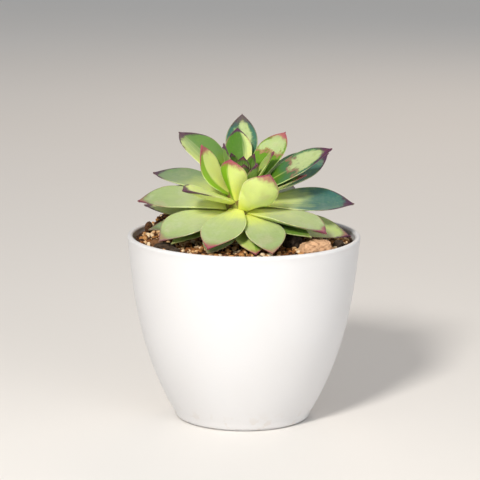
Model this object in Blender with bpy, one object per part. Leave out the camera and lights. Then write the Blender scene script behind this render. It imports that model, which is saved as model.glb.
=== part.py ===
# Potted echeveria: a pale green rosette with dark pink leaf tips, in a small white pot of grit.
# Metres, +Z up. The origin is the middle of the pot's underside, and the front faces -Y.

import math

import bmesh
import bpy
from mathutils import Matrix, Vector, noise

# Driving sizes
mm = 0.001
gap = 0.3 * mm  # clear space between pieces that touch

potHeight = 88 * mm
potRimRadius = 55 * mm
potWall = 2.6 * mm
potFloor = 4.0 * mm
potSides = 52

soilDrop = 2.0 * mm  # soil below the rim, along the wall
soilMound = 0.8 * mm  # how much higher it lies round the plant
heapPlace = (-36, 27)  # millimetres
heapHeight = 7.5 * mm
heapSpread = 12 * mm
grainSize = 4.6 * mm
grainHeight = 1.5 * mm

stemRadius = 4.6 * mm
stemFoot = 70 * mm  # height of the buried end above the pot's underside
crownPlace = (-1.8 * mm, -2.4 * mm, 101.2 * mm)  # where the stem is widest and most leaves spring from it
crownRadius = 7.0 * mm
crownBelow = 8.0 * mm
crownAbove = 15.0 * mm
rosetteLean = 16  # degrees that the whole rosette leans to the front

leafThickness = 0.18  # of the leaf's width
leafWidest = 0.62  # share of the length at which a leaf is widest
leafSpine = 0.45 * mm  # half width of the short point at the tip

# Every leaf: direction round the crown, height of its root above the crown's middle, its climb
# at the root and at the tip in degrees, its length and width, its roll on its own midrib, how far
# the midrib bows to the side, and how wide the root is as a share of the width.
# Direction 0 is +X, 90 the back and 270 the front. All of it leans with the rosette.
# Sizes are in millimetres.
underLeaves = [
    (352.7, -4.4, -6.4, -10.4, 47, 18.2, 7, 0, 0.27),
    (314.2, -6.9, 17.1, 5.1, 43, 11.4, 0, 0, 0.3),
    (280, -4.6, 4.9, -0.4, 37.4, 14, 0, 0, 0.3),
    (250.2, -7.0, 7.8, 1.8, 38.7, 14.2, 0, 0, 0.3),
    (223.6, -4.5, 4.9, -3.6, 38, 11.5, 0, 0, 0.3),
    (200.3, -6.4, 6, 0, 40.4, 12.5, 0, 0, 0.3),
    (162.9, -5.0, -5.6, 2.4, 42.3, 15, 0, 0, 0.3),
    (128.6, -6.4, 1.7, -6.3, 38.5, 13, 0, 0, 0.3),
    (94.8, -4.2, -2.3, -8.3, 39.5, 13, 0, 0, 0.3),
    (66.7, -6.6, -1.2, -8.2, 40.3, 13, 0, 0, 0.3),
    (35.2, -4.8, -3.1, -10.1, 40.3, 12.5, 0, 0, 0.3),
]

lowerLeaves = [
    (287.2, -2.0, 11.2, -5.8, 44, 18, 0, 2.2, 0.23),
    (252.2, 1.3, 8, -7, 42.4, 19, 0, 2, 0.36),
    (219.6, -2.0, 15.2, -16.8, 42.6, 21, 0, 0, 0.27),
    (179.5, -0.3, 16.7, -9.3, 41.9, 19.6, -5, 0, 0.3),
    (147.3, -1.5, 6.6, -9.3, 38.2, 14, 0, 0, 0.3),
    (117.4, 0.7, 2.5, -9.2, 40.7, 17, 0, 0, 0.3),
    (84.9, -1.6, 3.9, -13.1, 43.8, 18, 0, 0, 0.3),
    (51.6, 1.1, -1.5, -16.4, 34.9, 16, 0, 0, 0.3),
    (16.8, -1.5, -1.1, -10.1, 39.7, 16, 0, 0, 0.3),
    (319.9, -0.6, 14.2, -3.8, 45.6, 20.6, -8, 0.4, 0.25),
]

middleLeaves = [
    (358.6, 2.5, 4.5, -3.5, 46.8, 20.3, 7, 0, 0.25),
    (221.7, 4.5, 30.9, 22.9, 33.2, 16, 0, 0, 0.3),
    (145.9, 3.1, 12.9, -11.1, 44.6, 17.5, 0, 0, 0.3),
    (301.5, 2.0, 33, 69, 32.6, 16.6, -44, -2, 0.5),
    (101, 2.8, 16.1, 2.1, 40.9, 15, 0, 0, 0.3),
    (72.8, 4.7, 17, 1, 41.7, 15, 0, 0, 0.3),
    (33.2, 3.6, 17.2, 12.2, 45.2, 19, 12.5, 0, 0.3),
    (346, 4.0, 34.5, 29.5, 30, 7.2, 0, 0, 0.3),
]

upperLeaves = [
    (132.6, 4.7, 48.4, 2.4, 43.2, 18, 0, 0, 0.22),
    (158.1, 5.4, 45.7, 67.7, 26.3, 15.6, -5, 4, 0.2),
    (358.3, 6.4, 38.2, 28.2, 44, 17.5, 10, -1.2, 0.3),
    (89.3, 6.8, 37.6, 33.6, 40.1, 15, 0, 0, 0.3),
    (47.4, 7.4, 55.6, 19.6, 33.3, 15.6, 0, -2, 0.3),
    (248.1, 5.5, 74.5, 66.5, 25, 13, 0, 0, 0.36),
]

heartLeaves = [
    (94.1, 9.0, 44.7, 42.7, 28.4, 12.5, 0, 0, 0.3),
    (200.1, 9.0, 76.5, 80.5, 24.1, 9, 0, 0, 0.3),
    (2.7, 9.0, 56.4, 60.4, 21.4, 9, 0, 0, 0.3),
    (322.8, 9.0, 64.4, 74.4, 16, 9, 0, 0, 0.3),
    (144.7, 10.0, 74.6, 88.6, 15.1, 8, 0, 0, 0.3),
    (32.4, 10.0, 67.1, 81.1, 14.7, 8, 0, 0, 0.3),
    (288, 10.5, 74.7, 88.7, 12.5, 7, 0, 0, 0.3),
    (68.1, 11.0, 80.7, 92.7, 12.3, 7, 0, 0, 0.3),
]

# Stones: name, place x, y and how high the middle lies, half sizes, turn, colour
stones = [
    ("stone_large_tan", 33.5, -29.5, 86.6, 8.2, 5.4, 4.6, 30, "tanStone"),
    ("stone_dark_front", 22.5, -21.0, 87.6, 3.8, 4.6, 4.8, 40, "darkStone"),
    ("stone_dark_left", -37.0, -27.0, 85.8, 5.0, 3.6, 3.0, 25, "darkStone"),
    ("pebble_left_1", -32.0, -34.5, 85.6, 3.6, 2.6, 2.2, 60, "darkStone"),
    ("pebble_left_2", -40.5, -19.5, 86.6, 3.2, 2.6, 2.4, 10, "brownStone"),
    ("pebble_right_1", 31.0, -14.0, 87.1, 2.8, 2.6, 2.4, 0, "brownStone"),
    ("pebble_right_2", 44.0, -17.0, 86.4, 3.0, 2.4, 2.2, 70, "darkStone"),
    ("pebble_back", -28.0, 36.0, 88.0, 4.0, 3.2, 3.0, 30, "brownStone"),
    ("bark_chip", -45.5, 12.0, 88.4, 3.4, 1.5, 2.6, 75, "brownStone"),
]


def clearScene():
    for item in list(bpy.data.objects):
        bpy.data.objects.remove(item)


def makeMaterial(name, colour, roughness, metallic=0.0):
    material = bpy.data.materials.new(name)
    material.use_nodes = True
    shader = material.node_tree.nodes["Principled BSDF"]
    shader.inputs["Base Color"].default_value = (*colour, 1.0)
    shader.inputs["Roughness"].default_value = roughness
    shader.inputs["Metallic"].default_value = metallic
    return material


def addObject(name, mesh, material):
    piece = bpy.data.objects.new(name, mesh)
    mesh.materials.append(material)
    mesh.shade_smooth()
    bpy.context.scene.collection.objects.link(piece)
    return piece


def meshFromRings(name, rings, startPoint=None, endPoint=None):
    # Joins rings of points, each with as many points as the next, into one closed skin
    form = bmesh.new()
    loops = [[form.verts.new(point) for point in ring] for ring in rings]
    count = len(loops[0])
    for near, far in zip(loops, loops[1:]):
        for i in range(count):
            j = (i + 1) % count
            form.faces.new((near[i], near[j], far[j], far[i]))
    for loop, point in ((loops[0], startPoint), (loops[-1], endPoint)):
        if point is None:
            form.faces.new(loop)
            continue
        end = form.verts.new(point)
        for i in range(count):
            form.faces.new((loop[i], loop[(i + 1) % count], end))
    bmesh.ops.recalc_face_normals(form, faces=form.faces)
    bmesh.ops.triangulate(form, faces=form.faces)
    mesh = bpy.data.meshes.new(name)
    form.to_mesh(mesh)
    form.free()
    return mesh


def turned(name, profile, sides):
    # A closed solid of revolution. The profile runs from the axis to the axis.
    rings = []
    for radius, height in profile[1:-1]:
        turns = [2 * math.pi * i / sides for i in range(sides)]
        rings.append([(radius * math.cos(t), radius * math.sin(t), height) for t in turns])
    return meshFromRings(name, rings, (0, 0, profile[0][1]), (0, 0, profile[-1][1]))


# Pot

def potOuterRadius(height):
    # A straight lean with a curve that tightens towards the foot
    down = 1 - height / potHeight
    return potRimRadius - 8 * mm * down - 16 * mm * down ** 2.8


def potInnerRadius(height):
    return potOuterRadius(height) - potWall


def potProfile():
    foot = 2.6 * mm  # radius of the rounded corner under the wall
    points = [(0, 0), (potOuterRadius(0) - 2.6 * mm, 0)]
    centre = Vector((potOuterRadius(foot) - 3.2 * mm, foot))
    for turn in (-60, -35):
        angle = math.radians(turn)
        points.append((centre.x + 3.2 * mm * math.cos(angle), centre.y + foot * math.sin(angle)))
    for share in (0.035, 0.08, 0.15, 0.25, 0.38, 0.54, 0.72, 0.88):
        points.append((potOuterRadius(share * potHeight), share * potHeight))
    lip = potWall / 2
    middle = potRimRadius - lip
    for turn in (0, 45, 90, 135, 180):
        angle = math.radians(turn)
        points.append((middle + lip * math.cos(angle), potHeight - lip + lip * math.sin(angle)))
    for share in (0.75, 0.5, 0.3, 0.17):
        points.append((potInnerRadius(share * potHeight), share * potHeight))
    points.append((potInnerRadius(potFloor + 3 * mm), potFloor + 2 * mm))
    points.append((potInnerRadius(potFloor + 3 * mm) - 3 * mm, potFloor))
    points.append((0, potFloor))
    return points


def makePot(materials):
    return addObject("pot", turned("pot", potProfile(), potSides), materials["pot"])


# Stem and the soil that it stands in

def crownRadiusAt(height):
    # Radius of the leaning crown at a height above its middle
    if height < 0:
        swell = math.cos(min(1, -height / crownBelow) * math.pi / 2)
        return stemRadius + (crownRadius - stemRadius) * swell
    return crownRadius * math.sqrt(max(0, 1 - (height / crownAbove) ** 1.6))


def leaning(point):
    # Takes a point from the rosette's own frame to where the leaning rosette has it
    return Matrix.Rotation(math.radians(rosetteLean), 3, "X") @ Vector(point) + Vector(crownPlace)


def stemMesh(name, extra=0.0):
    # Upright where it is buried, then bent over until it leans with the rosette
    sides = 20
    turns = [2 * math.pi * i / sides for i in range(sides)]
    rings = []
    bendStart = leaning((0, 0, -crownBelow))
    soilLevel = 86 * mm
    for height in (stemFoot - extra, 80 * mm, soilLevel):
        radius = stemRadius + extra
        rings.append([(radius * math.cos(t), radius * math.sin(t), height) for t in turns])
    middle = (Vector((0, 0, soilLevel)) + bendStart) / 2
    bow = Matrix.Rotation(math.radians(rosetteLean / 2), 3, "X")
    flat = [bow @ Vector((math.cos(t), math.sin(t), 0)) for t in turns]
    rings.append([middle + spoke * (stemRadius + extra) for spoke in flat])
    for height in (-8, -6.5, -4.5, -2.2, 0, 3, 6, 9, 12, 14, 14.7):
        radius = crownRadiusAt(height * mm) + extra
        rings.append([
            leaning((radius * math.cos(t), radius * math.sin(t), height * mm)) for t in turns
        ])
    top = leaning((0, 0, crownAbove + extra))
    return meshFromRings(name, rings, (0, 0, stemFoot - extra), top)


def soilHeight(x, y):
    # A low mound round the plant and a heap at the back left, covered in rounded grains
    reach = math.hypot(x, y) / potInnerRadius(potHeight)
    height = potHeight - soilDrop + soilMound * (1 - reach ** 2)
    away = math.hypot(x - heapPlace[0] * mm, y - heapPlace[1] * mm)
    heap = heapHeight * math.exp(-(away / heapSpread) ** 2)
    height += heap * max(0, min(1, (1 - reach) * 10))
    spot = Vector((x / grainSize, y / grainSize, 0.37))
    near = noise.voronoi(spot)[0][0]
    return height + grainHeight * (0.5 - near)


def makeSoil(materials):
    top = potHeight - soilDrop
    rings = []
    sides = potSides

    def ring(radius, height):
        turns = [2 * math.pi * i / sides for i in range(sides)]
        rings.append([(radius * math.cos(t), radius * math.sin(t), height) for t in turns])

    floor = potFloor + gap
    corner = potInnerRadius(potFloor + 3 * mm)
    ring(corner - 3.2 * mm, floor)
    ring(corner - gap, floor + 2.2 * mm)
    for share in (0.17, 0.3, 0.5, 0.75):
        ring(potInnerRadius(share * potHeight) - gap, share * potHeight)
    wall = potInnerRadius(top) - 1.5 * gap
    ring(wall, top - 2.0 * mm)
    hole = stemRadius + gap
    steps = 16
    for i in range(steps):
        radius = wall - 0.5 * mm - (wall - hole - 1.5 * mm) * (i / (steps - 1)) ** 1.15
        points = []
        for k in range(sides):
            turn = 2 * math.pi * (k + 0.5 * (i % 2)) / sides
            x, y = radius * math.cos(turn), radius * math.sin(turn)
            points.append((x, y, soilHeight(x, y)))
        rings.append(points)
    ring(hole, top + 0.4 * mm)
    ring(hole, stemFoot - gap)
    mesh = meshFromRings("soil", rings, (0, 0, floor), (0, 0, stemFoot - gap))
    return addObject("soil", mesh, materials["soil"])


# Leaves

def halfWidthAt(share, width, root):
    # Narrow root, widest past the middle, then a pointed arch that ends in a short spine
    if share < leafWidest:
        rise = math.sin(math.pi / 2 * share / leafWidest) ** 1.4
        return width / 2 * (root + (1 - root) * rise)
    past = (share - leafWidest) / (1 - leafWidest)
    arch = width / 2 * max(0, 1 - (past / 0.96) ** 2)
    return math.hypot(arch, leafSpine * (1 - past) * 3)


def thicknessAt(share, width):
    swell = 0.78 + 0.22 * math.sin(math.pi * min(1, share / 0.8))
    taper = 1 - 0.76 * max(0, (share - 0.45) / 0.55) ** 1.6
    return leafThickness * width * swell * taper


def midrib(leaf, steps):
    # Points along the leaf with the directions along it, across it and out of its upper face
    turn, rootHeight, climbRoot, climbTip, length, width, roll, bow, root = leaf
    turn = math.radians(turn)
    rootHeight *= mm
    start = max(0.5 * mm, crownRadiusAt(rootHeight) - 2.0 * mm)
    place = Vector((start * math.cos(turn), start * math.sin(turn), rootHeight))
    across = Vector((-math.sin(turn), math.cos(turn), 0))
    stations = []
    for i in range(steps + 1):
        share = i / steps
        climb = math.radians(climbRoot + (climbTip - climbRoot) * share)
        along = Vector((
            math.cos(climb) * math.cos(turn),
            math.cos(climb) * math.sin(turn),
            math.sin(climb),
        ))
        tilt = Matrix.Rotation(math.radians(roll) * min(1, share * 2.5), 3, along)
        side = tilt @ across
        aside = across * bow * mm * 4 * share * (1 - share)
        stations.append((share, place + aside, side, along.cross(side)))
        place += along * (length + 2.0) * mm / steps
    return stations


def leafRings(leaf):
    width = leaf[5] * mm
    fine = midrib(leaf, 60)
    chosen = (0, 6, 13, 21, 29, 37, 44, 50, 54, 57)
    upper = (-1, -0.55, 0, 0.55, 1)
    lower = (0.68, 0, -0.68)
    keelBulge = 1.5
    rings = []
    for index in chosen:
        share, place, side, out = fine[index]
        half = halfWidthAt(share, width, leaf[8])
        thick = thicknessAt(share, width)
        cup = 0.16 * half * min(1, share * 2.2)
        ring = []
        for across in upper + lower:
            if len(ring) < len(upper):
                depth = 0.22 * math.sqrt(1 - across * across)
            else:
                depth = -0.78 * (1 - abs(across) ** keelBulge)
            lift = cup * across * across + depth * thick
            ring.append(leaning(place + side * half * across + out * lift))
        rings.append(ring)
    return rings, leaning(fine[0][1]), leaning(fine[-1][1])


def leafMesh(name, leaf):
    rings, root, tip = leafRings(leaf)
    return meshFromRings(name, rings, root, tip)


def makeLeaves(group, leaves, material, stemCutter):
    pieces = []
    for number, leaf in enumerate(leaves, 1):
        name = f"leaf_{group}_{number:02d}"
        piece = addObject(name, leafMesh(name, leaf), material)
        trim = piece.modifiers.new("clear of stem", "BOOLEAN")
        trim.operation = "DIFFERENCE"
        trim.object = stemCutter
        pieces.append(piece)
    return pieces


def makeStemAndHeart(materials):
    # The stem with the small crowded leaves of the heart, which grow from its top
    stem = addObject("stem_and_heart", stemMesh("stem_and_heart"), materials["heart"])
    grown = bpy.data.collections.new("heart leaves")
    bpy.context.scene.collection.children.link(grown)
    for number, leaf in enumerate(heartLeaves):
        mesh = leafMesh(f"heart_{number}", leaf)
        grown.objects.link(bpy.data.objects.new(f"heart_{number}", mesh))
    join = stem.modifiers.new("grown together", "BOOLEAN")
    join.operation = "UNION"
    join.operand_type = "COLLECTION"
    join.collection = grown
    graph = bpy.context.evaluated_depsgraph_get()
    stem.data = bpy.data.meshes.new_from_object(stem.evaluated_get(graph))
    stem.modifiers.clear()
    for leaf in list(grown.objects):
        bpy.data.objects.remove(leaf)
    bpy.data.collections.remove(grown)
    return stem


def makeStemCutter():
    cutter = bpy.data.objects.new("stem_clearance", stemMesh("stem_clearance", gap))
    bpy.context.scene.collection.objects.link(cutter)
    cutter.hide_render = True
    cutter.display_type = "WIRE"
    return cutter


# Stones

def stoneMesh(name, halfSizes, seed, extra=0.0):
    form = bmesh.new()
    detail = 3 if max(halfSizes) > 6 else 2
    bmesh.ops.create_icosphere(form, subdivisions=detail, radius=1.0)
    for vert in form.verts:
        rough = 1 + 0.16 * noise.noise(vert.co * 1.6 + Vector((seed * 7.3, 0, 0)))
        flat = Vector([math.copysign(abs(value) ** 0.8, value) for value in vert.co])
        vert.co = Vector([value * rough * (size * mm + extra) for value, size in zip(flat, halfSizes)])
    mesh = bpy.data.meshes.new(name)
    form.to_mesh(mesh)
    form.free()
    return mesh


def makeStones(materials, soil):
    pockets = bpy.data.collections.new("stone pockets")
    bpy.context.scene.collection.children.link(pockets)
    for seed, (name, x, y, z, sizeX, sizeY, sizeZ, turn, colour) in enumerate(stones):
        sizes = (sizeX, sizeY, sizeZ)
        stone = addObject(name, stoneMesh(name, sizes, seed), materials[colour])
        pocket = bpy.data.objects.new(name + "_pocket", stoneMesh(name, sizes, seed, gap * 1.3))
        pockets.objects.link(pocket)
        pocket.hide_render = True
        pocket.display_type = "WIRE"
        for piece in (stone, pocket):
            piece.location = (x * mm, y * mm, z * mm)
            piece.rotation_euler = (0, 0, math.radians(turn))
    dig = soil.modifiers.new("pockets", "BOOLEAN")
    dig.operation = "DIFFERENCE"
    dig.operand_type = "COLLECTION"
    dig.collection = pockets


def makeMaterials():
    return {
        "pot": makeMaterial("white glaze", (0.86, 0.85, 0.84), 0.35),
        "soil": makeMaterial("soil grit", (0.32, 0.17, 0.07), 0.95),
        "outer": makeMaterial("outer leaf", (0.42, 0.60, 0.30), 0.5),
        "middle": makeMaterial("middle leaf", (0.40, 0.62, 0.24), 0.5),
        "inner": makeMaterial("inner leaf", (0.58, 0.75, 0.30), 0.5),
        "heart": makeMaterial("heart leaf", (0.60, 0.72, 0.26), 0.5),
        "tanStone": makeMaterial("tan stone", (0.62, 0.42, 0.27), 0.9),
        "darkStone": makeMaterial("dark stone", (0.12, 0.10, 0.08), 0.85),
        "brownStone": makeMaterial("brown stone", (0.26, 0.15, 0.08), 0.9),
    }


def main():
    clearScene()
    materials = makeMaterials()
    makePot(materials)
    soil = makeSoil(materials)
    makeStones(materials, soil)
    makeStemAndHeart(materials)
    cutter = makeStemCutter()
    makeLeaves("under", underLeaves, materials["outer"], cutter)
    makeLeaves("lower", lowerLeaves, materials["outer"], cutter)
    makeLeaves("middle", middleLeaves, materials["middle"], cutter)
    makeLeaves("upper", upperLeaves, materials["inner"], cutter)


main()
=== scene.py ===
import math

import bmesh
import bpy
from mathutils import Matrix, Vector, noise


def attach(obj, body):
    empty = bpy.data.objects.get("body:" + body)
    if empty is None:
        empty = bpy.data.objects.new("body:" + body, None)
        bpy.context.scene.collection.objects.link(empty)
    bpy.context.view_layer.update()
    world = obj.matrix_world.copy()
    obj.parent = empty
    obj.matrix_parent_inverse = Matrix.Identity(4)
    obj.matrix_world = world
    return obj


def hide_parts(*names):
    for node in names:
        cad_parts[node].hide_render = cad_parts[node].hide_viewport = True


# Potted echeveria: a leaning rosette of waxy, pink-tipped leaves in gritty soil and a white pot.
# Unless a note says otherwise, lengths in the dictionaries are millimetres and angles are degrees.
# The plant leans towards -Y, where the camera is.

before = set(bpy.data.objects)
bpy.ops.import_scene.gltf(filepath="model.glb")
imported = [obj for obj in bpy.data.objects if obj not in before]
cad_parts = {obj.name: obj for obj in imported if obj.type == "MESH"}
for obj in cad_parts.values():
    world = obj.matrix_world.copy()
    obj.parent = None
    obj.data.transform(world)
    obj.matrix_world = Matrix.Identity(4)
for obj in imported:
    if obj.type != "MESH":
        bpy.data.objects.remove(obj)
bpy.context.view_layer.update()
mm = 0.001


# Node trees written as Python sums

class Wire:
    # An output socket that can be added, multiplied and so on, in shader and geometry trees
    def __init__(self, maker, socket):
        self.maker = maker
        self.socket = socket

    def __add__(self, other):
        return self.maker.maths("ADD", self, other)

    def __radd__(self, other):
        return self.maker.maths("ADD", other, self)

    def __sub__(self, other):
        return self.maker.maths("SUBTRACT", self, other)

    def __rsub__(self, other):
        return self.maker.maths("SUBTRACT", other, self)

    def __mul__(self, other):
        return self.maker.maths("MULTIPLY", self, other)

    def __rmul__(self, other):
        return self.maker.maths("MULTIPLY", other, self)

    def __truediv__(self, other):
        return self.maker.maths("DIVIDE", self, other)

    def __pow__(self, other):
        return self.maker.maths("POWER", self, other)


class NodeMaker:
    def __init__(self, tree):
        self.tree = tree

    def give(self, socket, value):
        if isinstance(value, Wire):
            self.tree.links.new(value.socket, socket)
        else:
            socket.default_value = value

    def node(self, kind, settings=None, sockets=None, out=0):
        # Settings first, because some of them change which sockets a node has
        made = self.tree.nodes.new(kind)
        for name, value in (settings or {}).items():
            if name == "stops":
                self.setStops(made.color_ramp, value)
            else:
                setattr(made, name, value)
        for name, value in (sockets or {}).items():
            self.give(made.inputs[name], value)
        return Wire(self, made.outputs[out])

    def setStops(self, ramp, stops):
        while len(ramp.elements) < len(stops):
            ramp.elements.new(1.0)
        for element, (place, shade) in zip(ramp.elements, stops):
            element.position = place
            element.color = shade

    def maths(self, operation, *values):
        return self.node("ShaderNodeMath", {"operation": operation}, dict(enumerate(values)))

    def clamped(self, value):
        settings = {"operation": "ADD", "use_clamp": True}
        return self.node("ShaderNodeMath", settings, {0: value, 1: 0.0})

    def least(self, a, b):
        return self.maths("MINIMUM", a, b)

    def most(self, a, b):
        return self.maths("MAXIMUM", a, b)

    def sine(self, angle):
        return self.maths("SINE", angle)

    def cosine(self, angle):
        return self.maths("COSINE", angle)

    def squareRoot(self, value):
        return self.maths("SQRT", value)

    def positive(self, value):
        return self.maths("ABSOLUTE", value)

    def smooth(self, low, high, value):
        # 0 at low and 1 at high, whichever is the larger, with an eased slope between
        return self.node("ShaderNodeMapRange", {"interpolation_type": "SMOOTHSTEP"},
                         {"Value": value, "From Min": low, "From Max": high})

    def vector(self, x, y, z):
        return self.node("ShaderNodeCombineXYZ", sockets={"X": x, "Y": y, "Z": z})

    def parts(self, vector):
        split = self.node("ShaderNodeSeparateXYZ", sockets={"Vector": vector})
        return [Wire(self, output) for output in split.socket.node.outputs]

    def vectorMaths(self, operation, a, b=(0.0, 0.0, 0.0)):
        return self.node("ShaderNodeVectorMath", {"operation": operation}, {0: a, 1: b})

    def scaled(self, vector, factor):
        sockets = {0: vector, "Scale": factor}
        return self.node("ShaderNodeVectorMath", {"operation": "SCALE"}, sockets)

    def mixed(self, factor, a, b):
        settings = {"data_type": "RGBA", "blend_type": "MIX", "clamp_factor": True}
        return self.node("ShaderNodeMix", settings, {0: factor, 6: a, 7: b}, out=2)

    def mottle(self, place, scale, detail=3.0, roughness=0.55):
        sockets = {"Vector": place, "Scale": scale, "Detail": detail, "Roughness": roughness}
        return self.node("ShaderNodeTexNoise", sockets=sockets)

    def cells(self, place, scale):
        return self.node("ShaderNodeTexVoronoi", sockets={"Vector": place, "Scale": scale})

    def attribute(self, name):
        return self.node("ShaderNodeAttribute", {"attribute_name": name}, out=2)

    def objectPlace(self):
        return self.node("ShaderNodeTexCoord", out=3)

    def placed(self, shape, sockets):
        return self.node("GeometryNodeSetPosition", sockets={"Geometry": shape, **sockets})

    def stored(self, shape, name, value, domain="POINT"):
        settings = {"data_type": "FLOAT", "domain": domain}
        sockets = {"Geometry": shape, "Name": name, "Value": value}
        return self.node("GeometryNodeStoreNamedAttribute", settings, sockets)

    def shadedSmooth(self, shape):
        sockets = {"Geometry": shape, "Shade Smooth": True}
        return self.node("GeometryNodeSetShadeSmooth", sockets=sockets)


def newGeometryTree(name, inputs, takesMesh=False):
    # A tree with a number input for each name, its maker, and its inputs as wires
    tree = bpy.data.node_groups.new(name, "GeometryNodeTree")
    labels = [(label, "NodeSocketFloat") for label in inputs] + [("Skin", "NodeSocketMaterial")]
    if takesMesh:
        labels.insert(0, ("Mesh", "NodeSocketGeometry"))
    for label, kind in labels:
        tree.interface.new_socket(label, in_out="INPUT", socket_type=kind)
    tree.interface.new_socket("Geometry", in_out="OUTPUT", socket_type="NodeSocketGeometry")
    make = NodeMaker(tree)
    entry = tree.nodes.new("NodeGroupInput")
    get = {socket.name: Wire(make, socket) for socket in entry.outputs if socket.name}
    return tree, make, get


def endTree(tree, make, shape, skin):
    shape = make.node("GeometryNodeRealizeInstances", sockets={"Geometry": shape})
    shape = make.node("GeometryNodeSetMaterial", sockets={"Geometry": shape, "Material": skin})
    result = tree.nodes.new("NodeGroupOutput")
    make.give(result.inputs["Geometry"], shape)


def grown(name, tree, values, base=None):
    # Runs a tree on its own object and keeps the result as a plain mesh
    holder = addObject(name, base or bpy.data.meshes.new(name))
    growth = holder.modifiers.new("growth", "NODES")
    growth.node_group = tree
    for item in tree.interface.items_tree:
        if item.in_out == "INPUT" and item.name in values:
            growth[item.identifier] = values[item.name]
    graph = bpy.context.evaluated_depsgraph_get()
    mesh = bpy.data.meshes.new_from_object(holder.evaluated_get(graph), depsgraph=graph)
    holder.modifiers.clear()
    holder.data = mesh
    return holder


# Materials and meshes

def colour(code):
    # "#RRGGBB" as Blender's linear colour
    channels = [int(code[i:i + 2], 16) / 255 for i in (1, 3, 5)]
    linear = [c / 12.92 if c <= 0.04045 else ((c + 0.055) / 1.055) ** 2.4 for c in channels]
    return (*linear, 1.0)


def newMaterial(name, fixed):
    # A Principled material, its maker and its shader. Fixed holds what is the same all over.
    material = bpy.data.materials.new(name)
    material.use_nodes = True
    shader = material.node_tree.nodes["Principled BSDF"]
    for socket, value in fixed.items():
        shader.inputs[socket].default_value = value
    return material, NodeMaker(material.node_tree), shader


def bumped(make, shader, height, strength, distance):
    sockets = {"Height": height, "Strength": strength, "Distance": distance * mm}
    make.give(shader.inputs["Normal"], make.node("ShaderNodeBump", sockets=sockets))


def turnsOf(sides):
    return [2 * math.pi * i / sides for i in range(sides)]


def circle(radius, height, sides):
    return [(radius * mm * math.cos(t), radius * mm * math.sin(t), height * mm)
            for t in turnsOf(sides)]


def ringSolid(name, rings, poles):
    # A closed solid from rings of points, with a pole before the first and after the last
    form = bmesh.new()
    loops = [[form.verts.new(point) for point in ring] for ring in rings]
    sides = len(loops[0])
    for near, far in zip(loops, loops[1:]):
        for i in range(sides):
            j = (i + 1) % sides
            form.faces.new((near[i], near[j], far[j], far[i]))
    for loop, point in zip((loops[0], loops[-1]), poles):
        pole = form.verts.new(point)
        for i in range(sides):
            form.faces.new((loop[i], loop[(i + 1) % sides], pole))
    bmesh.ops.recalc_face_normals(form, faces=form.faces)
    return meshOf(name, form)


def meshOf(name, form):
    mesh = bpy.data.meshes.new(name)
    form.to_mesh(mesh)
    form.free()
    mesh.shade_smooth()
    return mesh


def addObject(name, data):
    made = bpy.data.objects.new(name, data)
    bpy.context.scene.collection.objects.link(made)
    return made


def addPiece(name, mesh, material, replaced=()):
    mesh.materials.append(material)
    piece = addObject(name, mesh)
    finishPiece(piece, replaced)
    return piece


def finishPiece(piece, replaced=()):
    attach(piece, "root")
    if replaced:
        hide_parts(*replaced)


# Pot: a turned shell with a rounded lip, open at the top

pot = {
    "height": 88.0,
    "rimRadius": 55.0,
    "wall": 2.6,
    "floor": 4.0,
    "taper": 8.0,  # how far the side runs in evenly from rim to foot
    "belly": 16.0,  # how far it curves in on top of that
    "bellyCurve": 2.8,  # the higher, the nearer to the foot the curve sits
    "cornerRadius": 3.2,  # of the corner round the underside
    "cornerRise": 2.6,
    "floorCorner": 3.0,
    "sides": 176,
    "white": "#D6D6D8",
    "shade": "#D1D0D0",
    "dust": "#B9A58C",
    "dustTop": (85.5, 83.5),  # heights between which soil dust sets in on the inner wall
    "scuffTop": (12.0, 0.0),
}


def narrowed(radius, down):
    # A radius of the pot at a share of the way down from the rim, for numbers and for wires
    return radius - pot["taper"] * down - pot["belly"] * down ** pot["bellyCurve"]


def potOuterRadius(height):
    return narrowed(pot["rimRadius"], 1 - height / pot["height"])


def potInnerRadius(height):
    return potOuterRadius(height) - pot["wall"]


def arc(middleRadius, middleHeight, acrossSize, upSize, turns):
    angles = [math.radians(turn) for turn in turns]
    return [(middleRadius + acrossSize * math.cos(a), middleHeight + upSize * math.sin(a))
            for a in angles]


def potProfile():
    # Radius and height, from the middle of the underside over the lip to the middle of the floor
    height, floor, lip = pot["height"], pot["floor"], pot["wall"] / 2
    corner, rise, inCorner = pot["cornerRadius"], pot["cornerRise"], pot["floorCorner"]
    foot = potOuterRadius(0)
    points = [(0, 0), (foot - 6, 0), (foot - rise, 0)]
    points += arc(potOuterRadius(rise) - corner, rise, corner, rise, range(-75, 0, 15))
    low, high, steps = rise + 0.5, height - 4.6, 34  # more points near the foot, where it curves
    side = [low + (high - low) * (i / steps) ** 1.15 for i in range(steps + 1)]
    points += [(potOuterRadius(h), h) for h in side]
    points += arc(pot["rimRadius"] - lip, height - lip, lip, lip, range(-30, 211, 20))
    high, low, steps = height - 4, 8, 14
    inner = [high - (high - low) * i / steps for i in range(steps + 1)]
    points += [(potInnerRadius(h), h) for h in inner]
    bottom = potInnerRadius(floor + inCorner)
    points += [(bottom - 0.6, floor + 1.2), (bottom - inCorner, floor), (0, floor)]
    return points


def makePot(material):
    profile, sides = potProfile(), pot["sides"]
    rings = [circle(radius, height, sides) for radius, height in profile[1:-1]]
    poles = [(0, 0, height * mm) for radius, height in (profile[0], profile[-1])]
    addPiece("pot_shell", ringSolid("pot_shell", rings, poles), material, ("pot",))
    print("pot made")


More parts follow.
